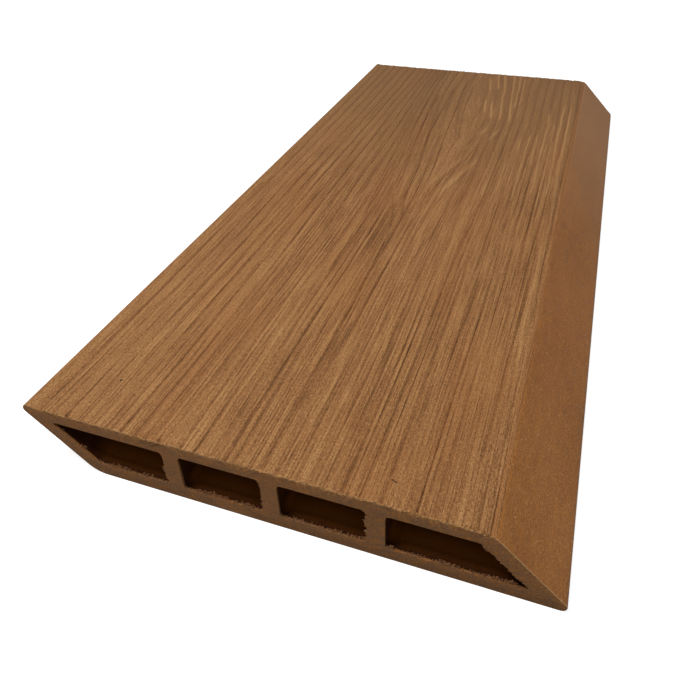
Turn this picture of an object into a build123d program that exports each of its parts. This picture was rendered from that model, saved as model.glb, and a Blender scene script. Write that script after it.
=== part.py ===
from build123d import *
import os
from math import radians, sin, tan

# Composite fence board: one short length of a hollow section, extruded in wood-plastic.
# X runs across the board, Y along it and Z up, in millimetres. The origin is the middle of
# the underside. The embossed face is on top, and both cut ends are sawn square.
# The long edges slope the same way, so the section is a parallelogram: the top reaches
# further left, the underside further right, and one board's nose tucks under the next.

os.makedirs("parts", exist_ok=True)

# The outside of the board
board_width = 140.0  # over the two rounded noses
board_thickness = 20.0
board_length = 300.0
edge_angle = 45.0  # degrees between a sloping edge and the flat faces
nose_radius = 1.5  # the two sharp corners, top left and bottom right
crease_radius = 6.0  # where the embossed face turns down, top right
heel_radius = 8.0  # where the underside turns up, bottom left

# The walls, and the cells that run through between them
skin = 4.0  # top and bottom walls
edge_wall = 4.2  # walls behind the sloping edges, measured square to the slope
web = 4.3  # upright walls between the cells
cell_count = 4
outer_cell_trim = 0.8  # an outer cell's short side is this much narrower than an inner cell
cell_corner_radius = 1.3
cell_nose_radius = 0.6  # the sharp corner of each outer cell

# What follows from those sizes
slope = radians(edge_angle)
nose_setback = nose_radius * (1 / tan(slope / 2) - 1)  # how far rounding draws a nose back
half_sharp_width = board_width / 2 + nose_setback
middle_height = board_thickness / 2


def slope_reach(height):
    """Distance from the middle of the board to the right slope, at this height."""
    return half_sharp_width - height / tan(slope)


def section_corners(flat_wall, slope_wall):
    """Corners of the section from the bottom left, moved in by its flat and sloping walls."""
    low, high = flat_wall, board_thickness - flat_wall
    wall_run = slope_wall / sin(slope)
    short = slope_reach(high) - wall_run
    long = slope_reach(low) - wall_run
    return [(-short, low), (long, low), (short, high), (-long, high)]


cell_short_reach = slope_reach(board_thickness - skin) - edge_wall / sin(slope)
web_pitch = (2 * (cell_short_reach + outer_cell_trim) + web) / cell_count

# The board: the whole section first, then the cells cut through it
with BuildPart() as board:
    with BuildSketch(Plane.XZ) as section:
        with BuildLine():
            Polyline(*section_corners(0, 0), close=True)
        make_face()
        fillet(section.vertices().group_by(Axis.Y)[-1].sort_by(Axis.X)[-1], crease_radius)
        fillet(section.vertices().group_by(Axis.Y)[0].sort_by(Axis.X)[0], heel_radius)
        noses = section.vertices().sort_by(Axis.X)
        fillet([noses[0], noses[-1]], nose_radius)
    extrude(amount=board_length / 2, both=True)

    with BuildSketch(Plane.XZ) as cells:
        with BuildLine():
            Polyline(*section_corners(skin, edge_wall), close=True)
        make_face()
        with Locations((0, middle_height)):
            with GridLocations(web_pitch, 0, cell_count - 1, 1):
                Rectangle(web, board_thickness, mode=Mode.SUBTRACT)
        fillet(cells.vertices().sort_by(Axis.X)[1:-1], cell_corner_radius)
        cell_noses = cells.vertices().sort_by(Axis.X)
        fillet([cell_noses[0], cell_noses[-1]], cell_nose_radius)
    extrude(amount=board_length / 2, both=True, mode=Mode.SUBTRACT)

board.part.label = "board"
export_step(board.part, "parts/board.step")
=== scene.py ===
from functools import partial, reduce
from math import radians, sin, tan

import bpy
import numpy as np
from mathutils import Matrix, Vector


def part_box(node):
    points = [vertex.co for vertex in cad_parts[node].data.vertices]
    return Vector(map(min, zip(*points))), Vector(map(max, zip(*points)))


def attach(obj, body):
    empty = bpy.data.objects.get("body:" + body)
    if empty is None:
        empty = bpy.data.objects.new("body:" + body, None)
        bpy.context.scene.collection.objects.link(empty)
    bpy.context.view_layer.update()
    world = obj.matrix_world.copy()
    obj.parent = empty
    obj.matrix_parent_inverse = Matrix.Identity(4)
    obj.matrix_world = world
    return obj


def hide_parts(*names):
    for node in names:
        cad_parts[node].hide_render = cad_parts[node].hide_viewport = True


# A short length of hollow wood-plastic fence board, with an embossed grain face, smooth
# sloping edges, four open cells and sawn ends. Sizes are in metres, in the frame of the
# board: X across, Y along and Z up. Sizes written times MM are in millimetres.

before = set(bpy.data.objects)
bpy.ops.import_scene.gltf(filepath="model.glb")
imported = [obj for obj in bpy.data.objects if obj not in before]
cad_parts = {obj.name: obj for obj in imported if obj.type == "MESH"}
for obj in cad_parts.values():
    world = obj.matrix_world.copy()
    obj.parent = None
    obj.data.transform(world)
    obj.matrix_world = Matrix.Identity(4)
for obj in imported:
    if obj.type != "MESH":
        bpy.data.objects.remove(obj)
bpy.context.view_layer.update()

MM = 0.001
SEED = 41

# The board's box, from the frame
board_low, board_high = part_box("board")
half_width = (board_high.x - board_low.x) / 2
half_length = (board_high.y - board_low.y) / 2
thickness = board_high.z - board_low.z

# The section inside that box
EDGE_ANGLE = radians(45)
NOSE_RADIUS = 1.5 * MM
CREASE_RADIUS = 6 * MM
HEEL_RADIUS = 8 * MM
SKIN = 4 * MM
EDGE_WALL = 4.2 * MM
EDGE_WALL_RUN = EDGE_WALL / sin(EDGE_ANGLE)
WEB = 4.3 * MM
CELL_COUNT = 4
OUTER_CELL_TRIM = 0.8 * MM
CELL_CORNER_RADIUS = 1.3 * MM
CELL_NOSE_RADIUS = 0.6 * MM

# How finely the surfaces are divided
GRAIN_COLUMNS = 400
SLOPE_COLUMNS = 20
UNDERSIDE_COLUMNS = 26
CREASE_COLUMNS = 13
NOSE_COLUMNS = 8
HEEL_COLUMNS = 8
ROW_STEP = 2.08 * MM
END_ROWS = np.array([0.0, 0.14, 0.45, 1.0, 1.8, 2.8]) * MM
LIP_STEP = 0.3 * MM
CELL_CORNER_COLUMNS = 7
WEB_POINTS = 6
SHARP_ANGLE = radians(38)
GRAIN_FACE, SMOOTH_SIDE, SAWN_END, CELL_WALL = range(4)  # the board's finishes, in this order
# Rows of a cell's wall, by depth behind its cut, and how much of the burr is left at each
CELL_ROWS = np.array([0, 0.25, 0.6, 1.3, 3, 10, 30, 75]) * MM
BURR_FALL = np.array([1, 0.55, 0.2, 0, 0, 0, 0, 0])

# The embossed grain. Places are in millimetres, across the board and along it.
EMBOSS_EDGE = 51.9
FINISH_EDGE = 53.3
EMBOSS_LEVEL = 0.25
RIB_SPACING = 4.15
RIB_PLACE = 0.59
GROOVE_CUT = 0.95
GROOVE_WIDTH = 0.66
LINE_SPACING = 1.45
HAIRLINE_SPACING = 0.78
# Dark grooves: depth, half width, then the places that the line runs through, near end first
GROOVES = (
    (0.42, 0.42, ((-1.9, -29), (-2.2, -26.5), (-4.3, -22), (-5.6, -16), (-6.8, 0), (-7.6, 12),
                  (-8.6, 25), (-10.2, 36), (-12.0, 50), (-13.0, 66), (-13.6, 95), (-14.6, 122))),
    (0.40, 0.40, ((-1.2, 14), (-2.0, 23), (-3.1, 37), (-4.6, 54), (-6.3, 78), (-7.3, 93),
                  (-9.0, 117), (-9.8, 135))),
    (0.34, 0.38, ((2.6, 47), (1.2, 55), (0.0, 65), (-1.4, 76), (-3.0, 89), (-3.9, 108),
                  (-4.8, 127))),
    (0.38, 0.36, ((-2.2, -92), (-2.6, -75), (-3.3, -50), (-4.4, -37), (-6.2, -27),
                  (-8.6, -19), (-11.3, -11))),
    (0.36, 0.40, ((-10.4, -44), (-10.9, -32), (-11.7, -18), (-12.9, 0), (-14.0, 18),
                  (-15.8, 35), (-17.3, 54), (-18.8, 76), (-20.5, 108))),
    (0.26, 0.42, ((-15.4, -70), (-16.2, -48), (-16.9, -15), (-17.7, 9), (-19.4, 30),
                  (-21.2, 48), (-22.2, 70), (-24.0, 110))),
    (0.24, 0.42, ((-21.0, -60), (-21.4, -38), (-22.6, -8), (-23.8, 16), (-24.9, 38),
                  (-26.4, 75))),
    (0.20, 0.42, ((-27.7, -48), (-28.4, -12), (-29.6, 18), (-30.3, 46))),
    (0.24, 0.55, ((1.6, -12), (2.8, -2), (4.6, 10), (6.6, 20), (9.2, 27), (11.2, 38), (12.2, 52))),
    (0.20, 0.50, ((6.4, -20), (8.0, -6), (9.8, 4), (12.0, 12), (13.4, 20))),
    (0.22, 0.50, ((18.6, 30), (17.6, 38), (18.2, 52), (19.4, 66))),
    (0.22, 0.50, ((7.6, 44), (8.8, 58), (9.0, 68), (11.0, 80))),
    (0.20, 0.45, ((4.4, 76), (5.4, 92), (4.6, 104))),
)
# Pale raised lines, given the same way
RIDGES = (
    (0.17, 0.45, ((5.2, 121), (4.0, 127), (2.8, 133), (0.8, 146))),
    (0.22, 0.42, ((8.9, 123), (8.0, 130), (6.6, 139), (4.9, 149))),
    (0.24, 0.45, ((16.5, 80), (15.6, 91), (14.0, 102), (13.1, 112), (12.4, 125), (11.0, 136),
                  (8.6, 149))),
    (0.22, 0.45, ((21.4, 78), (20.4, 89), (19.0, 100), (17.7, 111), (16.7, 124), (15.6, 138),
                  (14.0, 149))),
    (0.18, 0.40, ((21.2, 98), (20.4, 112), (19.6, 128), (18.6, 141), (17.8, 149))),
    (0.14, 0.40, ((23.5, 102), (22.6, 115), (21.8, 130), (20.4, 147))),
    (0.20, 0.40, ((7.7, 88), (6.4, 95), (5.3, 102), (5.0, 109))),
    (0.22, 0.42, ((12.1, 80), (11.2, 88), (9.8, 96), (8.8, 106))),
    (0.08, 1.00, ((-2.0, -19), (-0.8, -9), (0.6, 2), (2.6, 10), (5.2, 19), (7.6, 28),
                  (10.4, 39))),
    (0.10, 1.15, ((3.6, -29), (4.0, -18), (5.4, -8), (7.4, 3), (9.4, 10), (11.4, 18),
                  (14.0, 28), (16.6, 36))),
    (0.11, 0.60, ((11.2, 58), (12.0, 64), (13.2, 71))),
    (0.11, 0.60, ((15.2, 52), (17.0, 60), (18.5, 69))),
    (0.14, 0.45, ((22.9, -6), (22.6, 18), (22.5, 32), (21.9, 42))),
    (0.13, 0.40, ((27.4, 2), (27.1, 18), (26.8, 36))),
    (0.12, 0.38, ((30.8, 8), (30.4, 32), (29.8, 62))),
    (0.12, 0.38, ((34.0, 0), (33.9, 28), (33.3, 66))),
    (0.12, 0.38, ((43.8, -6), (43.7, 30), (43.1, 84))),
    (0.15, 0.42, ((37.1, 30), (37.3, 38), (36.8, 49), (36.8, 70))),
    (0.17, 0.42, ((40.6, 4), (41.0, 20), (40.2, 36), (40.0, 62), (39.4, 96))),
    (0.17, 0.42, ((46.6, 4), (46.8, 20), (46.2, 36), (45.8, 54), (45.4, 110))),
    (0.17, 0.42, ((50.4, -24), (50.1, -4), (49.8, 15), (49.1, 30), (49.2, 50), (48.8, 104))),
    (0.16, 0.42, ((9.6, -150), (9.3, -126), (9.0, -100), (8.7, -76), (8.2, -50), (8.0, -36))),
    (0.11, 0.38, ((12.9, -150), (12.8, -110), (12.7, -80), (12.3, -60))),
    (0.09, 0.38, ((4.8, -150), (4.4, -128), (3.6, -98))),
    (0.14, 0.45, ((18.8, -42), (18.5, -28), (17.8, -6))),
    (0.10, 0.36, ((39.4, -98), (39.2, -70), (39.6, -52))),
    (0.11, 0.36, ((42.6, -112), (42.2, -86), (42.0, -70))),
    (0.11, 0.38, ((49.4, -96), (49.2, -70), (49.8, -50))),
    (0.15, 0.36, ((51.2, -150), (51.4, -118), (51.5, -80))),
)
# Chips out of the face along the near cut: across, along, half width, half length, depth
CHIPS = (
    (-33.2, -149.3, 0.45, 0.8, 0.45),
    (-29.0, -149.4, 0.5, 0.9, 0.5),
    (-55.8, -149.4, 0.5, 0.8, 0.45),
    (-22.6, -149.4, 0.45, 0.8, 0.4),
    (-66.9, -149.6, 0.35, 0.5, 0.3),
    (38.0, -149.5, 0.4, 0.8, 0.3),
)
# Small dark marks: across, along, half length, half width, turn in degrees
MARKS = (
    (28.42, -142.92, 0.52, 0.16, -28),
    (29.2, -143.3, 0.42, 0.2, -12),
    (-50.55, -134.34, 0.42, 0.3, 40),
    (-51.23, -123.94, 0.3, 0.22, 60),
)

# What the saw leaves at each end: a narrow ring round each cell, a burr that reaches into
# its opening, and crumbs on the lips of the cells and along the edge of the face
LIP_RING = 0.35 * MM
BURR_REACH = 0.6 * MM
LIP_CRUMBS = 1500
RIM_CRUMBS = 520

# The camera, the lamp and the floor
CAMERA_PLACE = (55.04 * MM, -234.55 * MM, 141.81 * MM)
CAMERA_TURN = (radians(54.988), radians(1.28), radians(19.018))
CAMERA_LENS = 33.701
CAMERA_SHIFT = (-0.0143, -0.1)
KEY_PLACE = (-0.16, -0.19, 0.56)
KEY_AIM = (0.0, -0.13, 0.02)
KEY_SPREAD = radians(150)
KEY_SIZE = 0.2
KEY_POWER = 2.05
ROOM_LEVEL = 0.28
MATTE_SHARE = 0.15
FLOOR_SIZE = 8.0
FLOOR_GREY = 0.42
FLOOR_LIFT = 0.86  # added to the floor for the camera near the board, and 1 far from it
FLOOR_LIFT_REACH = (0.2, 0.7)  # it grows between these distances from the board's middle

# Colours, as linear values. A ramp is a row of places from 0 to 1, each with its colour.
WHITE = (1, 1, 1, 1)
GRAIN_RAMP = ((0.18, (0.138, 0.055, 0.015)), (0.42, (0.21, 0.086, 0.024)),
              (0.63, (0.308, 0.135, 0.041)), (0.92, (0.47, 0.238, 0.084)))
GRAIN_CLOUD = (0.34, 0.125, 0.032)
# Painted sheen: the grey that the face turns towards the far end, for grazing reflection
GRAIN_SHEEN_GREY = (0.28, 0.14, 0.056)
SMOOTH_STRIP = (0.36, 0.14, 0.036)
# Pale cut edge of the face: partly torn fibre and partly a painted highlight along the arris
GRAIN_TORN_AND_LIT = (0.56, 0.29, 0.105)
DARK_MARK = (0.03, 0.013, 0.008)
# Brighter than the face's ramp: partly the smooth skin's own colour and partly painted light,
# making up for the key lamp leaning away from the slopes
SMOOTH_RAMP = ((0.36, (0.265, 0.094, 0.016)), (0.5, (0.36, 0.134, 0.026)),
               (0.64, (0.46, 0.185, 0.045)))
# Painted sheen: the paler grey that the slopes turn towards the far end
SMOOTH_SHEEN_GREY = (0.52, 0.26, 0.115)
SMOOTH_SPECK = (0.74, 0.45, 0.21)
# Pale cut edge of the slopes: partly torn fibre and partly a painted highlight along the arris
SMOOTH_TORN_AND_LIT = (0.6, 0.36, 0.16)
SAWN_RAMP = ((0.37, (0.175, 0.095, 0.05)), (0.46, (0.25, 0.12, 0.05)),
             (0.53, (0.3, 0.13, 0.04)), (0.63, (0.44, 0.167, 0.036)))
DULL_CRUMB_RAMP = ((0.35, (0.19, 0.086, 0.037)), (0.65, (0.32, 0.144, 0.06)))
PALE_CRUMB_RAMP = ((0.35, (0.36, 0.165, 0.055)), (0.65, (0.56, 0.28, 0.1)))
# Painted shade: the cells' walls are made near black for the shade inside the deep cells
SHADED_CELL_RAMP = ((0.35, (0.03, 0.007, 0.001)), (0.65, (0.055, 0.014, 0.002)))
# Painted light: the warm pool on each cell's floor, where lamp light reaches in
PAINTED_CELL_LIGHT = (0.46, 0.14, 0.012)


def value_noise(across, along, seed):
    """Smooth noise from -1 to 1: random numbers on a lattice of unit cells, eased between."""
    lattice = 256
    numbers = np.random.default_rng(SEED + seed).uniform(-1, 1, (lattice, lattice))
    column, row = np.floor(across).astype(int), np.floor(along).astype(int)
    u, v = across - column, along - row
    u, v = u * u * (3 - 2 * u), v * v * (3 - 2 * v)
    column, row = column % lattice, row % lattice
    next_column, next_row = (column + 1) % lattice, (row + 1) % lattice
    near = numbers[column, row] * (1 - u) + numbers[next_column, row] * u
    far = numbers[column, next_row] * (1 - u) + numbers[next_column, next_row] * u
    return near * (1 - v) + far * v


def line_noise(place, strand, seed):
    """Value noise along a line. Each strand, a number, is a line of its own."""
    return value_noise(place, strand + 0 * place, seed)


def ease(value, start, end):
    """Rises smoothly from 0 at start to 1 at end."""
    t = np.clip((value - start) / (end - start), 0, 1)
    return t * t * (3 - 2 * t)


def bell(value, middle, half_width):
    """1 at the middle, falling smoothly on both sides: about a third at the half width."""
    return np.exp(-(((value - middle) / half_width) ** 2))


def left_of(direction):
    """A flat direction, or a row of them, turned a quarter to the left."""
    return np.stack([-direction[..., 1], direction[..., 0]], axis=-1)


def rounded_section(corners, radii, arc_columns, side_columns):
    """A closed clockwise outline with round corners, as points and outward normals.

    At each corner an arc of its radius runs from the point where it leaves one side to the
    point where it meets the next: centre plus radius times the outward normal, which turns
    clockwise by the corner's angle. Each side between two arcs is divided evenly.
    """
    corners = np.array(corners, float)
    along = np.roll(corners, -1, 0) - corners
    along /= np.linalg.norm(along, axis=1)[:, None]
    into = np.roll(along, 1, 0)
    turns = np.arccos(np.clip((into * along).sum(1), -1, 1))
    setbacks = np.array(radii) * np.tan(turns / 2)
    places, normals = [], []
    for k, radius in enumerate(radii):
        angle = np.linspace(0, turns[k], arc_columns[k])[:, None]
        outward = np.cos(angle) * left_of(into[k]) + np.sin(angle) * into[k]
        centre = corners[k] - setbacks[k] * into[k] - radius * left_of(into[k])
        places.append(centre + radius * outward)
        normals.append(outward)
        following = (k + 1) % len(radii)
        start = corners[k] + setbacks[k] * along[k]
        end = corners[following] - setbacks[following] * along[k]
        t = np.linspace(0, 1, side_columns[k] + 2)[1:-1, None]
        places.append(start + t * (end - start))
        normals.append(np.tile(left_of(along[k]), (side_columns[k], 1)))
    return np.concatenate(places), np.concatenate(normals)


def slope_reach(height):
    """Distance from the middle of the board to the sharp right slope, at this height."""
    nose_setback = NOSE_RADIUS * (1 / tan(EDGE_ANGLE / 2) - 1)
    return half_width + nose_setback - height / tan(EDGE_ANGLE)


def board_outline():
    """The section's outside, clockwise from the top left nose."""
    low, high = slope_reach(0), slope_reach(thickness)
    corners = [(-low, thickness), (high, thickness), (low, 0), (-high, 0)]
    radii = [NOSE_RADIUS, CREASE_RADIUS, NOSE_RADIUS, HEEL_RADIUS]
    arcs = [NOSE_COLUMNS, CREASE_COLUMNS, NOSE_COLUMNS, HEEL_COLUMNS]
    sides = [GRAIN_COLUMNS, SLOPE_COLUMNS, UNDERSIDE_COLUMNS, SLOPE_COLUMNS // 2]
    return rounded_section(corners, radii, arcs, sides)


def web_places():
    """Middles of the upright webs, from the left."""
    short_reach = slope_reach(thickness - SKIN) - EDGE_WALL_RUN
    pitch = (2 * (short_reach + OUTER_CELL_TRIM) + WEB) / CELL_COUNT
    return (np.arange(1, CELL_COUNT) - CELL_COUNT / 2) * pitch


def cell_outlines():
    """One outline for each cell, clockwise from its top left corner, with its normals."""
    low, high = SKIN, thickness - SKIN
    short, long = slope_reach(high) - EDGE_WALL_RUN, slope_reach(low) - EDGE_WALL_RUN
    webs = web_places()
    top_left = np.concatenate([[-long], webs + WEB / 2])
    bottom_left = np.concatenate([[-short], webs + WEB / 2])
    outlines = []
    for k in range(CELL_COUNT):
        mirror = CELL_COUNT - 1 - k
        corners = [(top_left[k], high), (-bottom_left[mirror], high),
                   (-top_left[mirror], low), (bottom_left[k], low)]
        radii = [CELL_NOSE_RADIUS if k == 0 else CELL_CORNER_RADIUS, CELL_CORNER_RADIUS,
                 CELL_NOSE_RADIUS if mirror == 0 else CELL_CORNER_RADIUS, CELL_CORNER_RADIUS]
        lengths = np.linalg.norm(np.roll(corners, -1, 0) - np.array(corners), axis=1)
        sides = (lengths / LIP_STEP).astype(int)
        arcs = [CELL_CORNER_COLUMNS] * 4
        outlines.append(rounded_section(corners, radii, arcs, sides))
    return outlines


def column_lean(column, y):
    """How far a column of the grid has moved left by y, in millimetres.

    Columns run with the fibres: straight in the near half, then leaning left beside the
    flame figure, by a bump across the board that grows along it.
    """
    on_face = ease(column, -68, -60) * (1 - ease(column, 43, 49))
    return 11.0 * on_face * bell(column, -8, 19) * ease(y, -30, 125)


def fibre_place(column, x, y):
    """The fibre through x, y, named by its place across the near end, in millimetres.

    It is the column, less a bump within the flame figure where fibres lean right, plus a
    bump past it where they close again, and a slow wander.
    """
    within = 5.0 * bell(x, 8, 10) * ease(y, -35, 60)
    closing = 4.5 * bell(x, 12, 11) * ease(y, 76, 150)
    wander = 0.5 * value_noise(column / 16, y / 55, 1)
    return column - within + closing + wander


def grain_line(x, y, depth, half_width, places):
    """One line of the grain: a bell across it, faded out over its last few millimetres.

    The line goes through its places, rounded off by a moving average along the board.
    """
    across, along = np.array(places).T
    reach = 6 * np.array([-1, -0.5, 0, 0.5, 1])
    middle = np.mean([np.interp(y + shift, along, across) for shift in reach], axis=0)
    start_fade = np.where(along[0] <= -149, 1, ease(y, along[0] - 2, along[0] + 5))
    end_fade = np.where(along[-1] >= 148, 1, 1 - ease(y, along[-1] - 9, along[-1] + 3))
    middle = middle + 0.18 * line_noise(y / 7, along[0], 2)
    strength = 0.82 + 0.3 * line_noise(y / 13, along[-1], 3)
    return depth * strength * start_fade * end_fade * bell(x, middle, half_width)


def line_phase(fibre, y, spacing, slow, quick, seed):
    """A phase that passes a whole number at each thin line along the fibres.

    It grows by 1 in each spacing, plus slow and quick noise that sets the lines unevenly
    apart and lets them run together here and there.
    """
    uneven = slow * value_noise(fibre / (2.5 * spacing), y / 130, seed)
    uneven = uneven + quick * value_noise(fibre / (0.9 * spacing), y / 75, seed + 1)
    return fibre / spacing + uneven


def line_strength(phase, y):
    """How deep each thin line is, from 0 to 1: its own noise along the board."""
    return ease(value_noise(np.round(phase), y / 40, 23), -0.5, 0.8)


def rib_waves(fibre, y):
    """Height of the ribs in millimetres: a round back and a narrow valley in each spacing.

    A cosine raised to a high power is the valley, and to a low power the fall towards it.
    The same, moved aside, is the crest on its right. Noise sets the ribs unevenly apart and
    makes some deeper than others. Towards the far end the valleys are worn shallow and wide.
    """
    rib = fibre / RIB_SPACING + RIB_PLACE + 0.24 * value_noise(fibre / 9, y / 70, 4)
    wave = 0.5 + 0.5 * np.cos(2 * np.pi * rib)
    beside = 0.5 + 0.5 * np.cos(2 * np.pi * (rib - 0.2))
    strength = 0.95 + 0.3 * value_noise(np.round(rib), y / 45, 5)
    worn = ease(y, -20, 110)
    level = (0.22 - 0.06 * ease(fibre, -6, 14)) * (1 - 0.12 * worn)
    valley = (1 - 0.45 * worn) * wave ** 12 + 0.45 * worn * wave ** 3
    return level * strength * (0.12 - 0.88 * valley - 0.1 * wave ** 1.6 + 0.24 * beside ** 12)


def raised_lines(x, y):
    """Height of the chosen pale ridges, in millimetres."""
    return sum(grain_line(x, y, *ridge) for ridge in RIDGES)


def grain_relief(x, y, fibre, phase):
    """Height of the embossed face below the board's top, in millimetres, always under 0.

    A worn level, ribs with a narrow valley between them, the chosen grooves and ridges with
    a wider dip under each groove, a dip along each thin line and two sizes of fine striation.
    The cut end is chipped here and there.
    """
    relief = -EMBOSS_LEVEL * np.ones_like(fibre)
    flame = bell(x, 3, 15) * ease(y, -42, -22) * (1 - 0.5 * ease(y, 60, 100))
    relief += (1 - 0.75 * flame) * rib_waves(fibre, y)
    for depth, half_width, places in GROOVES:
        relief -= GROOVE_CUT * grain_line(x, y, depth, GROOVE_WIDTH * half_width, places)
        relief -= grain_line(x, y, 0.08 * depth, 2.2 * half_width, places)
    relief += raised_lines(x, y)
    calm = (0.55 + 0.45 * ease(x, -67, -40)) * (1 - 0.65 * ease(y, -60, 110))
    fine = calm * (1 - 0.7 * bell(x, 0.5, 4.5) * bell(y, -8, 16))
    relief -= 0.12 * fine * line_strength(phase, y) * bell(phase, np.round(phase), 0.17)
    relief += 0.09 * fine * value_noise(fibre / 1.1, y / 40, 6)
    relief += 0.10 * fine * value_noise(fibre / 0.6 + 31, y / 24, 7)
    relief += 0.02 * value_noise(x / 11, y / 30, 9)
    for across, along, wide, long, depth in CHIPS:
        relief -= depth * bell(x, across, wide) * bell(y, along, long)
    from_cut = half_length / MM - np.abs(y)
    chipped = np.clip(value_noise(x / 0.8, np.sign(y) + 7, 8) - 0.25, 0, 1)
    relief -= 0.4 * chipped * bell(from_cut, 0, 0.4 + 0.5 * chipped)
    return np.clip(relief, -0.95, -0.012)


def row_places():
    """Rows along the board: even ones, and closer ones near both sawn ends."""
    inner = half_length - END_ROWS[-1]
    even = np.linspace(-inner, inner, int(2 * inner / ROW_STEP) + 1)
    near = -half_length + END_ROWS[:-1]
    return np.concatenate([near, even, -near[::-1]])


def arc_lengths(outline):
    """Length along an outline up to each of its points, in millimetres."""
    steps = np.linalg.norm(np.diff(outline, axis=0), axis=1)
    return np.concatenate([[0], np.cumsum(steps)]) / MM


def loop_lengths(places):
    """Length round a closed outline up to each point, in millimetres, from the last point."""
    return np.cumsum(np.linalg.norm(places - np.roll(places, 1, 0), axis=1)) / MM


def outer_skin(outline, normals):
    """The outside as a grid, outline by rows, with its grain relief and attributes.

    The relief moves each point along the outline's normal. Its place across the face is the
    length along the outline, which is X on the flat and runs on round the crease. The cut
    rows are set back by a ragged amount at both ends.
    """
    length = arc_lengths(outline)
    first = NOSE_COLUMNS
    across = length - length[first] + outline[first, 0] / MM
    rows = row_places()
    column, y = np.meshgrid(across, rows / MM, indexing="ij")
    x = column - column_lean(column, y)
    fibre = fibre_place(column, x, y)
    phase = line_phase(fibre, y, LINE_SPACING, 0.75, 0.2, 21)
    hairs = line_phase(fibre + 40, y, HAIRLINE_SPACING, 0.6, 0.1, 24)
    nose_end = across[first]
    left_side = ease(x, nose_end - 0.2, nose_end + 2.2)
    embossed = left_side * (1 - ease(x, EMBOSS_EDGE, EMBOSS_EDGE + 0.6))
    relief = grain_relief(x, y, fibre, phase) * embossed
    relief -= 0.06 * bell(x, EMBOSS_EDGE + 0.2, 0.35) * embossed
    ragged = 0.5 * np.abs(line_noise(across / 0.42, 0, 10)) ** 1.3
    ragged += 0.6 * np.clip(line_noise(across / 1.4, 3, 11) - 0.4, 0, 1)
    setback = (0.06 + ragged * (0.1 + 0.9 * embossed[:, 0])) * MM
    along = np.tile(rows, (len(outline), 1))
    along[:, 0] += setback
    along[:, 1] += 0.8 * setback
    along[:, -1] -= 1.5 * setback[::-1]
    along[:, -2] -= 1.2 * setback[::-1]
    grid = np.empty((len(outline), len(rows), 3))
    grid[..., 0] = outline[:, :1] + (x - column + normals[:, :1] * relief) * MM
    grid[..., 1] = along
    grid[..., 2] = outline[:, 1:] + normals[:, 1:] * relief * MM
    edge = np.zeros_like(relief)
    edge[:, [0, -1]] = 1
    strength = line_strength(phase, y) * embossed * (1 - 0.8 * ease(y, -60, 100))
    # Tone stored as relief: darker in the hollows and paler on the ridges, paler still towards the
    # far end; partly the brushed face's own colour and partly painted shade and painted highlight
    rubbed_and_lit = (1.8 + 1.3 * ease(y, 20, 110)) * raised_lines(x, y)
    tone = 0.5 + (1.9 * (relief + EMBOSS_LEVEL) + rubbed_and_lit) * embossed
    marks = {"relief": np.clip(tone, 0, 1.4), "edge": edge,
             "fibre": np.stack([fibre * MM, along, grid[..., 2]], axis=-1),
             "lines": np.stack([phase, hairs, strength], axis=-1)}
    on_face = (across > nose_end - 1.3) & (across < FINISH_EDGE)
    return grid, marks, on_face.astype(float)


def cell_lip(places, normals, k, end):
    """How far the sawn lip of a cell reaches into its opening, along its outline.

    The blade came down and across, so at the near end the burr stands on the floor and the
    right wall, and most of all where that wall leans over the opening. It is spiky noise
    over rougher noise, raised in clusters, and fades out at the cell's outermost corner.
    """
    length = loop_lengths(places)
    across, up = normals[:, 0] * (1 if end < 0 else -1), normals[:, 1]
    weight = 0.06 + np.clip(-0.8 * up + 0.85 * across, 0, 1)
    weight += 1.8 * np.clip(across, 0, 1) * np.clip(up, 0, 1)
    strand = k * 10 + (0 if end < 0 else 5)
    spikes = np.clip(line_noise(length / 0.31, strand, 12), 0, 1)
    rough = np.abs(line_noise(length / 1.1, strand + 2, 13))
    cluster = np.clip(line_noise(length / 3.0, strand + 4, 14) - 0.1, 0, 1)
    lip = BURR_REACH * weight * (spikes * (0.8 + 0.9 * cluster) + 0.25 * rough + 0.6 * cluster)
    nose = places[np.argmax(np.abs(places[:, 0]))]
    return np.minimum(lip, 0.25 * np.linalg.norm(places - nose, axis=1))


def cell_wall(places, normals, k):
    """A cell's wall as a grid, outline by rows, from the near lip to the far one.

    The lips reach into the opening at both ends, and the wall settles back within 1.5 mm.
    Die lines run its whole length but for the cuts: small noise, the same in every row.
    """
    near, far = cell_lip(places, normals, k, -1), cell_lip(places, normals, k, 1)
    lines = 0.05 * MM * line_noise(loop_lengths(places) / 0.9, k, 15)
    rows = np.concatenate([-half_length + CELL_ROWS, half_length - CELL_ROWS[::-1]])
    none = 0 * BURR_FALL
    inward = near[:, None] * np.concatenate([BURR_FALL, none])
    inward = inward + far[:, None] * np.concatenate([none, BURR_FALL[::-1]])
    inward = inward + lines[:, None] * (np.abs(rows) < half_length - 1 * MM)
    grid = np.empty((len(places), len(rows), 3))
    grid[..., 0] = places[:, :1] - normals[:, :1] * inward
    grid[..., 1] = rows
    grid[..., 2] = places[:, 1:] - normals[:, 1:] * inward
    return grid


def tube_faces(columns, rows, start, inside_out=False):
    """Quads of a closed grid whose columns go round an outline and whose rows go along."""
    column, row = np.meshgrid(np.arange(columns), np.arange(rows - 1), indexing="ij")
    following = (column + 1) % columns
    quads = np.stack([column * rows + row, following * rows + row,
                      following * rows + row + 1, column * rows + row + 1], axis=-1)
    quads = quads.reshape(-1, 4) + start
    return quads[:, ::-1] if inside_out else quads


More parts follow.
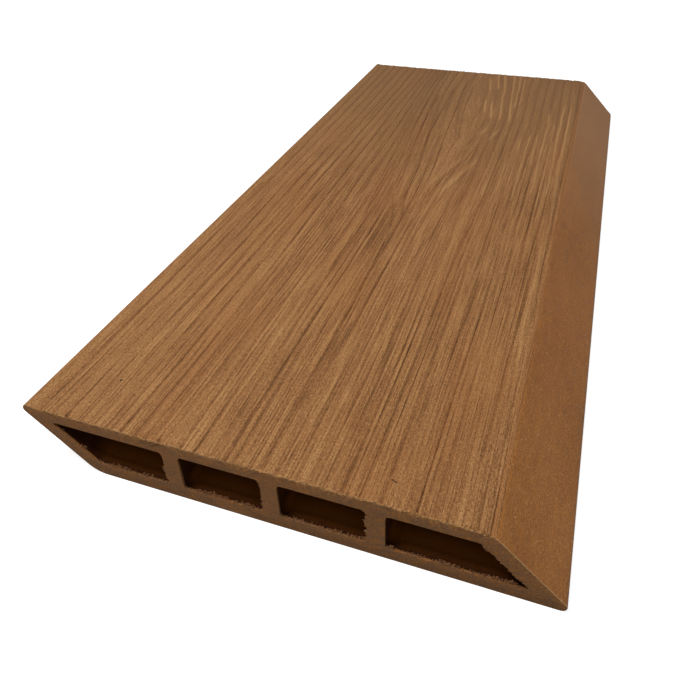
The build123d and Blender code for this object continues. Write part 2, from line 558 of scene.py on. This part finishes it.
def zip_loops(outer, inner, centre, points):
    """Triangles between two closed clockwise loops of point numbers, one inside the other.

    Both loops are walked together by angle about the centre. Each step along one loop makes
    a triangle with the point that the other loop has reached.
    """
    def by_angle(loop):
        """The loop from its smallest angle on, and its angles, closed by a full turn."""
        offset = points[loop] - centre
        angle = (-np.arctan2(offset[:, 1], offset[:, 0])) % (2 * np.pi)
        first = np.argmin(angle)
        angle = np.maximum.accumulate(np.roll(angle, -first))
        return np.roll(loop, -first), np.append(angle, angle[0] + 2 * np.pi)

    outer, outer_angle = by_angle(outer)
    inner, inner_angle = by_angle(inner)
    inner_reached = np.searchsorted(inner_angle[1:], outer_angle[1:], side="left") % len(inner)
    outer_reached = np.searchsorted(outer_angle[1:], inner_angle[1:], side="right") % len(outer)
    by_outer = np.stack([outer, np.roll(outer, -1), inner[inner_reached]], axis=1)
    by_inner = np.stack([np.roll(inner, -1), inner, outer[outer_reached]], axis=1)
    return np.concatenate([by_outer, by_inner])


def end_face(rim, rim_numbers, cells, cell_numbers, points):
    """Triangles of a sawn end: round each cell, out to the rim and the middles of the webs.

    The points are returned too, with new ones that divide the webs. The triangles run
    clockwise, seen from the near side.
    """
    fractions = np.linspace(0, 1, WEB_POINTS + 2)[1:-1, None]
    upper = rim[:, 1] > thickness / 2
    numbers = np.arange(len(rim))
    tops, bottoms = [[numbers[half][np.argmin(np.abs(rim[half, 0] - x))] for x in web_places()]
                     for half in (upper, ~upper)]
    added = [rim[top] + fractions * (rim[bottom] - rim[top]) for top, bottom in zip(tops, bottoms)]
    down = [len(points) + WEB_POINTS * k + np.arange(WEB_POINTS) for k in range(len(added))]
    points = np.concatenate([points] + added)
    triangles = []
    for k, cell in enumerate(cell_numbers):
        if k == 0:
            loop = [rim_numbers[bottoms[0]:], rim_numbers[:tops[0] + 1], down[0]]
        elif k == len(cell_numbers) - 1:
            loop = [rim_numbers[tops[-1]:bottoms[-1] + 1], down[-1][::-1]]
        else:
            loop = [rim_numbers[tops[k - 1]:tops[k] + 1], down[k],
                    rim_numbers[bottoms[k]:bottoms[k - 1] + 1], down[k - 1][::-1]]
        triangles.append(zip_loops(np.concatenate(loop), cell, cells[k].mean(0), points))
    return points, np.concatenate(triangles)


def inset_rim(places, normals, on_face, end):
    """The sawn end's outer edge: the skin's last row, drawn in by a ragged arris.

    The arris is thin on the smooth sides. Along the embossed face it is torn: noise at two
    sizes, with deeper chips where the larger noise is high.
    """
    length = arc_lengths(places)
    strand = 0 if end < 0 else 7
    torn = 0.55 * np.abs(line_noise(length / 0.45, strand, 16)) ** 1.2
    torn += 0.8 * np.clip(line_noise(length / 1.7, strand + 2, 17) - 0.45, 0, 1)
    arris = 0.1 + torn * (0.05 + 0.95 * on_face)
    return places - normals * arris[:, None] * MM


def at_end(flat, end):
    """Flat points, laid in the plane of the near or the far end."""
    return np.insert(flat, 1, end * half_length, axis=1)


def facing(faces, end):
    """Faces that look out of the near end, turned round for the far one."""
    return faces if end < 0 else faces[:, ::-1]


def board_mesh():
    """All of the board as arrays: points, quads, triangles, finishes and attributes.

    A sawn end runs from its rim to a ring round each cell, just outside the cell's wall, and
    from each ring to the ragged lip.
    """
    outline, normals = board_outline()
    skin, marks, on_face = outer_skin(outline, normals)
    columns, rows = skin.shape[:2]
    side_finish = np.where(on_face + np.roll(on_face, -1) > 1.5, GRAIN_FACE, SMOOTH_SIDE)
    points, quads = [skin.reshape(-1, 3)], [tube_faces(columns, rows, 0)]
    finishes = [np.repeat(side_finish, rows - 1)]
    start = columns * rows
    cells = cell_outlines()
    cell_starts, cell_rows = [], 0
    for k, (places, outward) in enumerate(cells):
        wall = cell_wall(places, outward, k)
        cell_rows = wall.shape[1]
        points.append(wall.reshape(-1, 3))
        quads.append(tube_faces(len(places), cell_rows, start, inside_out=True))
        burred = np.full(cell_rows - 1, CELL_WALL)
        burred[[0, 1, -2, -1]] = SAWN_END
        finishes.append(np.tile(burred, len(places)))
        cell_starts.append(start)
        start += wall.shape[0] * cell_rows
    triangles, rims = [], []
    for end, row in ((-1, 0), (1, rows - 1)):
        rim = inset_rim(skin[:, row][:, [0, 2]], normals, on_face, end)
        rim_numbers = start + np.arange(columns)
        rims.append(rim_numbers)
        rings = [places + outward * LIP_RING for places, outward in cells]
        points += [at_end(rim, end), at_end(np.concatenate(rings), end)]
        edge = np.arange(columns) * rows + row
        arris = np.stack([edge, rim_numbers, np.roll(rim_numbers, -1), np.roll(edge, -1)], axis=1)
        quads.append(facing(arris, end))
        finishes.append(side_finish)
        start += columns
        ring_numbers = []
        lip_row = 0 if end < 0 else cell_rows - 1
        for ring, cell_start in zip(rings, cell_starts):
            numbers = start + np.arange(len(ring))
            lip = cell_start + np.arange(len(ring)) * cell_rows + lip_row
            band = np.stack([lip, np.roll(lip, -1), np.roll(numbers, -1), numbers], axis=1)
            quads.append(facing(band, end))
            finishes.append(np.full(len(band), SAWN_END))
            ring_numbers.append(numbers)
            start += len(ring)
        flat = np.concatenate(points)[:, [0, 2]]
        flat, faces = end_face(rim, rim_numbers, rings, ring_numbers, flat)
        points.append(at_end(flat[start:], end))
        triangles.append(facing(faces, -end))
        start = len(flat)
    points, triangles = np.concatenate(points), np.concatenate(triangles)
    finishes.append(np.full(len(triangles), SAWN_END))
    spare = points[columns * rows:]
    attributes = {}
    for name, values in marks.items():
        if values.ndim == 3:
            attributes[name] = np.concatenate([values.reshape(-1, 3), spare])
        else:
            attributes[name] = np.concatenate([values.ravel(), np.zeros(len(spare))])
    # Off the outer skin no thin line shows, and the rims are as pale as a ridge: partly torn fibre
    # and partly a painted highlight along the arris
    attributes["lines"][columns * rows:] = 0.5
    attributes["relief"][np.concatenate(rims)] = 0.8
    attributes["edge"][np.concatenate(rims)] = 1
    return points, np.concatenate(quads), triangles, np.concatenate(finishes), attributes


def new_object(name, data):
    """An object with this data, in the scene."""
    made = bpy.data.objects.new(name, data)
    bpy.context.scene.collection.objects.link(made)
    return made


def new_piece(name, points, faces, finishes, materials, attributes=None):
    """A mesh object at the origin, smooth but for its sharp edges."""
    mesh = bpy.data.meshes.new(name)
    mesh.from_pydata(points, [], faces)
    for material in materials:
        mesh.materials.append(material)
    mesh.polygons.foreach_set("material_index", np.asarray(finishes, dtype=np.int32))
    for label, values in (attributes or {}).items():
        kind, field = ("FLOAT", "value") if values.ndim == 1 else ("FLOAT_VECTOR", "vector")
        layer = mesh.attributes.new(label, kind, "POINT")
        layer.data.foreach_set(field, values.ravel().astype(np.float32))
    mesh.shade_smooth()
    mesh.set_sharp_from_angle(angle=SHARP_ANGLE)
    mesh.update()
    return new_object(name, mesh)


def feed(socket, value):
    """Gives a node's input a plain value, or links it to another node's output."""
    if isinstance(value, bpy.types.NodeSocket):
        socket.id_data.links.new(value, socket)
    else:
        socket.default_value = value


def add(tree, kind, **values):
    """A node with its inputs or settings set by name, with spaces as underscores."""
    made = tree.nodes.new(kind)
    for name, value in values.items():
        socket = made.inputs.get(name.replace("_", " "))
        if socket is not None and not hasattr(made, name):
            feed(socket, value)
        else:
            setattr(made, name, value)
    return made


def empty_tree(owner):
    """The node tree of a material or a world, with nothing in it."""
    owner.use_nodes = True
    owner.node_tree.nodes.clear()
    return owner.node_tree


def new_finish(name):
    """A material with no shader yet, and its object coordinates."""
    material = bpy.data.materials.new(name)
    return material, add(empty_tree(material), "ShaderNodeTexCoord").outputs["Object"]


def coat(material, **values):
    """Gives a material one Principled shader with these values."""
    shader = add(material.node_tree, "ShaderNodeBsdfPrincipled", **values)
    add(material.node_tree, "ShaderNodeOutputMaterial", Surface=shader.outputs["BSDF"])
    return material


def stored(material, name, output="Fac"):
    """A value stored on the mesh's points."""
    return add(material.node_tree, "ShaderNodeAttribute", attribute_name=name).outputs[output]


def axes(vector):
    """The X, Y and Z values of a vector."""
    return add(vector.id_data, "ShaderNodeSeparateXYZ", Vector=vector).outputs


def length_of(vector):
    """The length of a vector."""
    made = add(vector.id_data, "ShaderNodeVectorMath", operation="LENGTH", Vector=vector)
    return made.outputs["Value"]


def noise(vector, size, detail=2.0, rough=0.5, distort=0.0):
    """Noise from 0 to 1 whose cells have this size along X, Y and Z, in millimetres."""
    scale = tuple(1 / (s * MM) for s in size)
    stretch = add(vector.id_data, "ShaderNodeMapping", Vector=vector, Scale=scale)
    texture = add(vector.id_data, "ShaderNodeTexNoise", Vector=stretch.outputs["Vector"],
                  Scale=1.0, Detail=detail, Roughness=rough, Distortion=distort)
    return texture.outputs["Fac"]


def span(value, low, high, to_low=0.0, to_high=1.0):
    """The value carried from low..high to to_low..to_high, and held at both ends."""
    mapped = add(value.id_data, "ShaderNodeMapRange", Value=value, From_Min=low, From_Max=high,
                 To_Min=to_low, To_Max=to_high)
    return mapped.outputs["Result"]


def combine(operation, first, second=0.0):
    """Two values, or a value and a number, put together by this operation."""
    made = add(first.id_data, "ShaderNodeMath", operation=operation)
    feed(made.inputs[0], first)
    feed(made.inputs[1], second)
    return made.outputs["Value"]


def times(first, second):
    """The product of two values."""
    return combine("MULTIPLY", first, second)


def weighted(*parts):
    """The sum of values, each times its own weight."""
    return reduce(partial(combine, "ADD"), [times(value, weight) for value, weight in parts])


def colours(value, ramp):
    """The colour of a ramp at this value."""
    made = add(value.id_data, "ShaderNodeValToRGB", Fac=value)
    elements = made.color_ramp.elements
    while len(elements) < len(ramp):
        elements.new(0.5)
    for element, (place, colour) in zip(elements, ramp):
        element.position = place
        element.color = (*colour, 1)
    return made.outputs["Color"]


def mix(factor, first, second):
    """Two colours mixed by a factor. The second may be a plain colour."""
    made = add(factor.id_data, "ShaderNodeMix", data_type="RGBA")
    feed(made.inputs[0], factor)
    feed(made.inputs[6], first)
    feed(made.inputs[7], (*second, 1) if isinstance(second, tuple) else second)
    return made.outputs[2]


def bump(height, distance):
    """The normal of a surface with bumps of this height."""
    made = add(height.id_data, "ShaderNodeBump", Height=height, Strength=1.0, Distance=distance)
    return made.outputs["Normal"]


def line_marks(phase, low, high):
    """1 where a phase is a whole number, falling to 0 between low and high to its side."""
    gap = combine("ABSOLUTE", combine("SUBTRACT", phase, combine("ROUND", phase)))
    return span(gap, low, high, 1.0, 0.0)


def small_mark(place, across, along, half_length, half_width, turn):
    """1 inside a small oval on the top face and 0 outside it."""
    oval = add(place.id_data, "ShaderNodeMapping", vector_type="TEXTURE", Vector=place,
               Location=(across * MM, along * MM, thickness), Rotation=(0, 0, radians(turn)),
               Scale=(half_length * MM, half_width * MM, 3 * MM))
    return span(length_of(oval.outputs["Vector"]), 0.6, 1.2, 1.0, 0.0)


def grain_finish():
    """Embossed face: pale ridges, dark valleys, and thin lines and specks along the fibres.

    Towards the far end the hairlines and streaks fade, and all but the palest parts turn
    greyer, a painted sheen. The pale ridges and dark valleys are partly the face's own colour
    and partly painted highlight and painted shade.
    """
    material, place = new_finish("embossed_grain")
    fibre, relief = stored(material, "fibre", "Vector"), stored(material, "relief")
    phase, hair_phase, strength = axes(stored(material, "lines", "Vector"))
    toward_far_end = span(axes(place)["Y"], -10 * MM, 120 * MM)
    patches = noise(fibre, (3.4, 30, 9), detail=1)
    cores = times(line_marks(phase, 0.03, 0.13), strength)
    hairs = times(line_marks(hair_phase, 0.06, 0.26),
                  weighted((span(patches, 0.44, 0.6), 1.0), (toward_far_end, -0.6)))
    hairs = combine("MAXIMUM", hairs, 0.0)
    strands = noise(fibre, (0.42, 14, 4), rough=0.6)
    specks = noise(fibre, (0.36, 0.6, 0.6), rough=0.65)
    grit = noise(fibre, (0.8, 1.3, 1.0), detail=1)
    streaks = span(strands, 0.25, 0.75)
    # The relief tone, raised further towards the far end, is partly painted shade in the hollows
    # and painted highlight on the ridges
    tone = weighted((relief, 0.46), (cores, -0.2), (hairs, -0.16), (streaks, 0.36),
                    (times(streaks, toward_far_end), -0.22), (times(relief, toward_far_end), 0.26), (toward_far_end, -0.01),
                    (span(specks, 0.25, 0.75), 0.56), (span(grit, 0.25, 0.75), 0.12))
    tone = combine("SUBTRACT", tone, 0.1)
    clouds = noise(fibre, (26, 60, 9), detail=1)
    warm = mix(span(clouds, 0.5, 0.7, 0.0, 0.3), colours(tone, GRAIN_RAMP), GRAIN_CLOUD)
    # Painted sheen: towards the far end all but the palest parts turn grey, for grazing reflection
    painted_sheen = times(toward_far_end, span(tone, 0.6, 0.85, 0.5, 0.0))
    face = mix(painted_sheen, warm, GRAIN_SHEEN_GREY)
    smooth = span(axes(place)["X"], (EMBOSS_EDGE - 0.8) * MM, FINISH_EDGE * MM, to_high=0.8)
    # Pale torn edge: partly torn fibre and partly a painted highlight along the arris
    torn = times(stored(material, "edge"), span(specks, 0.4, 0.6, 0.35, 1.0))
    worn = mix(torn, mix(smooth, face, SMOOTH_STRIP), GRAIN_TORN_AND_LIT)
    marks = reduce(partial(combine, "MAXIMUM"), [small_mark(place, *mark) for mark in MARKS])
    height = weighted((cores, -0.1), (hairs, -0.06), (strands, 0.34), (specks, 0.5),
                      (grit, 0.3), (marks, -0.2))
    return coat(material, Base_Color=mix(marks, worn, DARK_MARK), Normal=bump(height, 1 * MM),
                Roughness=span(tone, 0.3, 0.9, 0.78, 0.62), Specular_IOR_Level=0.32)


def extruded_finish():
    """Smooth slopes, noses and underside, as they leave the die: satin, with pale specks.

    Towards the far end the colour turns paler and greyer, a painted sheen. It is pale at the cuts,
    partly torn fibre and partly a painted highlight along the arris.
    """
    material, place = new_finish("extruded_skin")
    mottle = noise(place, (2.2, 4, 2.2), detail=3, rough=0.6)
    die_lines = noise(place, (0.9, 180, 0.9))
    clouds = noise(place, (16, 38, 16))
    grains = noise(place, (0.55, 0.6, 0.55), rough=0.6)
    tone = weighted((mottle, 0.28), (die_lines, 0.02), (clouds, 0.25), (grains, 0.45))
    # Painted sheen, growing towards the far end
    toward_far_end = span(axes(place)["Y"], -10 * MM, 100 * MM, to_high=0.55)
    colour = mix(toward_far_end, colours(tone, SMOOTH_RAMP), SMOOTH_SHEEN_GREY)
    specks = add(place.id_data, "ShaderNodeTexVoronoi", Vector=place, Scale=1 / (0.85 * MM))
    chosen = times(span(specks.outputs["Distance"], 0.1, 0.2, 1.0, 0.0),
                   span(specks.outputs["Color"], 0.4, 0.8))
    # Pale torn edge: partly torn fibre and partly a painted highlight along the arris
    torn = times(stored(material, "edge"), 0.75)
    height = weighted((grains, 0.22), (die_lines, 0.03), (mottle, 0.14))
    return coat(material, Base_Color=mix(torn, mix(chosen, colour, SMOOTH_SPECK), SMOOTH_TORN_AND_LIT),
                Roughness=span(mottle, 0.3, 0.7, 0.5, 0.62), Specular_IOR_Level=0.3,
                Normal=bump(height, 1 * MM))


def sawn_finish():
    """Sawn ends: dull, with grey and orange flow streaks and the fine tracks of the blade."""
    material, place = new_finish("sawn_end")
    flow = noise(place, (4, 9, 1.3), detail=4, rough=0.62, distort=1.6)
    crumb = noise(place, (0.6, 0.6, 0.5), detail=3, rough=0.65)
    tracks = noise(place, (0.3, 4, 6), detail=3, rough=0.6, distort=0.2)
    tone = weighted((flow, 0.5), (crumb, 0.4), (tracks, 0.1))
    return coat(material, Base_Color=colours(tone, SAWN_RAMP),
                Roughness=span(crumb, 0.3, 0.7, 0.9, 0.74), Specular_IOR_Level=0.18,
                Normal=bump(weighted((crumb, 0.45), (tracks, 0.12)), 1 * MM))


def torn_finish():
    """Crumbs and torn fibres: dull on the cells' lips, and pale along the embossed face."""
    material, place = new_finish("torn_fibre")
    shade = noise(place, (0.5, 0.5, 0.5), detail=1)
    top = span(axes(place)["Z"], thickness - SKIN, thickness - 1 * MM)
    colour = mix(top, colours(shade, DULL_CRUMB_RAMP), colours(shade, PALE_CRUMB_RAMP))
    return coat(material, Base_Color=colour, Roughness=0.8, Specular_IOR_Level=0.18)


def cell_finish():
    """Walls of the cells: reddish, and dark with painted shade, with a painted pool of light on
    the floor a few millimetres in.

    The painted light fades towards the cut, deeper in and up the walls.
    """
    material, place = new_finish("cell_wall")
    mottle = noise(place, (1.6, 5, 1.6), detail=3, rough=0.6)
    die_lines = noise(place, (0.7, 160, 0.7))
    tone = weighted((mottle, 0.6), (die_lines, 0.4))
    along = combine("ABSOLUTE", axes(place)["Y"])
    inside = span(along, half_length - 8 * MM, half_length - 1 * MM, 1.0, 0.0)
    outside = span(along, half_length - 9 * MM, half_length - 4 * MM, 0.12, 1.0)
    low = span(axes(place)["Z"], SKIN, SKIN + 3 * MM, 1.0, 0.08)
    # Painted light on the cell floor, a few millimetres in from the cut, fading up the walls
    painted_light = times(times(inside, outside), low)
    return coat(material, Base_Color=mix(painted_light, colours(tone, SHADED_CELL_RAMP), PAINTED_CELL_LIGHT),
                Roughness=span(mottle, 0.3, 0.7, 0.62, 0.76), Specular_IOR_Level=0.1,
                Normal=bump(tone, 0.12 * MM))


def icosahedron():
    """Twelve points and twenty faces of a regular solid of radius 1."""
    long = (1 + 5 ** 0.5) / 2
    points = [(-1, long, 0), (1, long, 0), (-1, -long, 0), (1, -long, 0),
              (0, -1, long), (0, 1, long), (0, -1, -long), (0, 1, -long),
              (long, 0, -1), (long, 0, 1), (-long, 0, -1), (-long, 0, 1)]
    faces = [(0, 11, 5), (0, 5, 1), (0, 1, 7), (0, 7, 10), (0, 10, 11),
             (1, 5, 9), (5, 11, 4), (11, 10, 2), (10, 7, 6), (7, 1, 8),
             (3, 9, 4), (3, 4, 2), (3, 2, 6), (3, 6, 8), (3, 8, 9),
             (4, 9, 5), (2, 4, 11), (6, 2, 10), (8, 6, 7), (9, 8, 1)]
    return np.array(points) / np.hypot(1, long), np.array(faces)


def torn_fibres(spots, leading, length, width, depth, end, chance):
    """Points of small uneven spikes that stand on a sawn lip, in the plane of the end.

    Each is a rough ball, stretched along its leading direction and drawn thin to the tip.
    """
    shape = icosahedron()[0]
    body = shape + chance.normal(0, 0.13, (len(spots), len(shape), 3))
    reach = body[..., 0]
    thin = (0.8 - 0.45 * reach) * width[:, None]
    ahead = ((reach + 0.6) * length[:, None])[..., None] * leading[:, None]
    aside = (body[..., 1] * thin)[..., None] * left_of(leading)[:, None]
    flat = spots[:, None] + ahead + aside
    y = end * (half_length - depth[:, None]) - body[..., 2] * thin
    limit = half_length - 0.01 * MM
    points = np.stack([flat[..., 0], np.clip(y, -limit, limit), flat[..., 1]], axis=-1)
    return points.reshape(-1, 3)


def lip_fibres(end, chance):
    """Torn fibres on the lips of the cells: they crowd where noise along the lip is high."""
    rows = []
    for k, (cell, normals) in enumerate(cell_outlines()):
        length = np.arange(len(cell)) * LIP_STEP / MM
        across, up = normals[:, 0] * -end, normals[:, 1]
        strand = k * 10 + 4 + (0 if end < 0 else 5)
        crowd = np.clip(line_noise(length / 3.4, strand, 14) + 0.3, 0, 1) ** 1.5
        sides = np.clip(-0.9 * up + 0.5 * across, 0, 1)
        sides += 0.3 * np.clip(across, 0, 1) * np.clip(up, 0, 1)
        nose = cell[np.argmax(np.abs(cell[:, 0]))]
        sides *= ease(np.linalg.norm(cell - nose, axis=1), 1 * MM, 4 * MM)
        rows.append((cell, normals, cell_lip(cell, normals, k, end), sides * (0.12 + crowd)))
    places, outward, lips, keeps = [np.concatenate(parts) for parts in zip(*rows)]
    chosen = chance.choice(len(places), LIP_CRUMBS, p=keeps / keeps.sum())
    lean = chance.normal(0, 0.8, LIP_CRUMBS)[:, None]
    tangent = left_of(outward[chosen])
    leading = -outward[chosen] * np.cos(lean) + tangent * np.sin(lean)
    width = chance.gamma(4.0, 0.034, LIP_CRUMBS) * MM
    length = width * chance.uniform(0.8, 2.4, LIP_CRUMBS)
    spots = places[chosen] - outward[chosen] * lips[chosen][:, None] * 0.7
    spots = spots + tangent * chance.uniform(-0.5, 0.5, (LIP_CRUMBS, 1)) * LIP_STEP
    depth = chance.uniform(0.02, 0.6, LIP_CRUMBS) * MM + width
    return torn_fibres(spots, leading, length, width, depth, end, chance)


def rim_fibres(end, chance):
    """Torn fibres along the top edge of a sawn end, lying forward over the cut."""
    top = slope_reach(thickness) - 1 * MM
    x = chance.uniform(-slope_reach(0) + 4 * MM, top, RIM_CRUMBS)
    width = chance.gamma(3.0, 0.04, RIM_CRUMBS) * MM
    z = thickness - (0.08 * MM + 1.2 * width + chance.uniform(0, 0.4, RIM_CRUMBS) * MM)
    turn = chance.normal(0, 0.9, RIM_CRUMBS)
    leading = np.column_stack([np.sin(turn), -np.cos(turn)])
    depth = width + chance.uniform(0, 0.25, RIM_CRUMBS) * MM
    length = width * chance.uniform(1.0, 2.0, RIM_CRUMBS)
    return torn_fibres(np.column_stack([x, z]), leading, length, width, depth, end, chance)


def saw_crumbs(material):
    """Crumbs and torn fibres that the saw left at both ends."""
    chance = np.random.default_rng(SEED)
    shape, faces = icosahedron()
    parts = [make(end, chance) for end in (-1, 1) for make in (lip_fibres, rim_fibres)]
    points = np.concatenate(parts)
    starts = np.arange(len(points) // len(shape))[:, None, None] * len(shape)
    all_faces = (faces[None] + starts).reshape(-1, 3)
    return new_piece("saw_crumbs", points, all_faces.tolist(), np.zeros(len(all_faces)), [material])


def show_white(tree, plain, white, output):
    """Gives the output a white shader for the camera's own rays and a plain one for others.

    Reflections take a small share of the white, so that they stay matte.
    """
    path = add(tree, "ShaderNodeLightPath").outputs
    glossy = times(path["Is Glossy Ray"], MATTE_SHARE)
    seen = combine("MAXIMUM", path["Is Camera Ray"], glossy)
    seen = combine("MAXIMUM", seen, path["Is Transmission Ray"])
    chosen = add(tree, "ShaderNodeMixShader")
    for socket, value in zip(chosen.inputs, (seen, plain.outputs[0], white.outputs[0])):
        feed(socket, value)
    add(tree, output, Surface=chosen.outputs[0])


def floor_finish():
    """A pale floor that shows white to the camera and still takes the board's shadow.

    What is added for the camera grows with the distance from the board, so that the floor
    is white up to the corners of the view.
    """
    material, place = new_finish("pale_floor")
    tree = material.node_tree
    plain = add(tree, "ShaderNodeBsdfDiffuse", Color=(FLOOR_GREY, FLOOR_GREY, FLOOR_GREY, 1))
    level = span(length_of(place), *FLOOR_LIFT_REACH, FLOOR_LIFT, 1.0)
    lift = add(tree, "ShaderNodeEmission", Color=WHITE, Strength=level)
    lifted = add(tree, "ShaderNodeAddShader")
    feed(lifted.inputs[0], plain.outputs[0])
    feed(lifted.inputs[1], lift.outputs[0])
    show_white(tree, plain, lifted, "ShaderNodeOutputMaterial")
    return material


def make_floor():
    """A wide flat floor under the board."""
    reach = FLOOR_SIZE / 2
    points = [(-reach, -reach, 0), (reach, -reach, 0), (reach, reach, 0), (-reach, reach, 0)]
    floor = new_piece("floor", points, [(0, 1, 2, 3)], [0], [floor_finish()])


def make_light():
    """One soft lamp above the near end, and a dim even room that shows white behind."""
    lamp = bpy.data.lights.new("key", "AREA")
    lamp.shape, lamp.size, lamp.energy = "DISK", KEY_SIZE, KEY_POWER
    lamp.spread = KEY_SPREAD
    key = new_object("key", lamp)
    key.location = KEY_PLACE
    aim = Vector(KEY_AIM) - key.location
    key.rotation_euler = aim.to_track_quat("-Z", "Y").to_euler()
    world = bpy.data.worlds.new("room")
    bpy.context.scene.world = world
    tree = empty_tree(world)
    room = add(tree, "ShaderNodeBackground", Color=WHITE, Strength=ROOM_LEVEL)
    shown = add(tree, "ShaderNodeBackground", Color=WHITE, Strength=1.0)
    show_white(tree, room, shown, "ShaderNodeOutputWorld")


def make_camera():
    """The photograph's view, down on the near end from the right."""
    data = bpy.data.cameras.new("camera")
    data.lens = CAMERA_LENS
    data.shift_x, data.shift_y = CAMERA_SHIFT
    data.clip_start = 0.01
    camera = new_object("camera", data)
    camera.location = CAMERA_PLACE
    camera.rotation_euler = CAMERA_TURN
    bpy.context.scene.camera = camera


def make_board():
    """The dressed board and its crumbs."""
    points, quads, triangles, finishes, attributes = board_mesh()
    materials = [grain_finish(), extruded_finish(), sawn_finish(), cell_finish()]
    faces = quads.tolist() + triangles.tolist()
    board = new_piece("fence_board", points, faces, finishes, materials, attributes)
    crumbs = saw_crumbs(torn_finish())
    for piece in (board, crumbs):
        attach(piece, "root")
    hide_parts("board")


make_board()
make_floor()
make_light()
make_camera()
bpy.context.scene.view_settings.view_transform = "Standard"
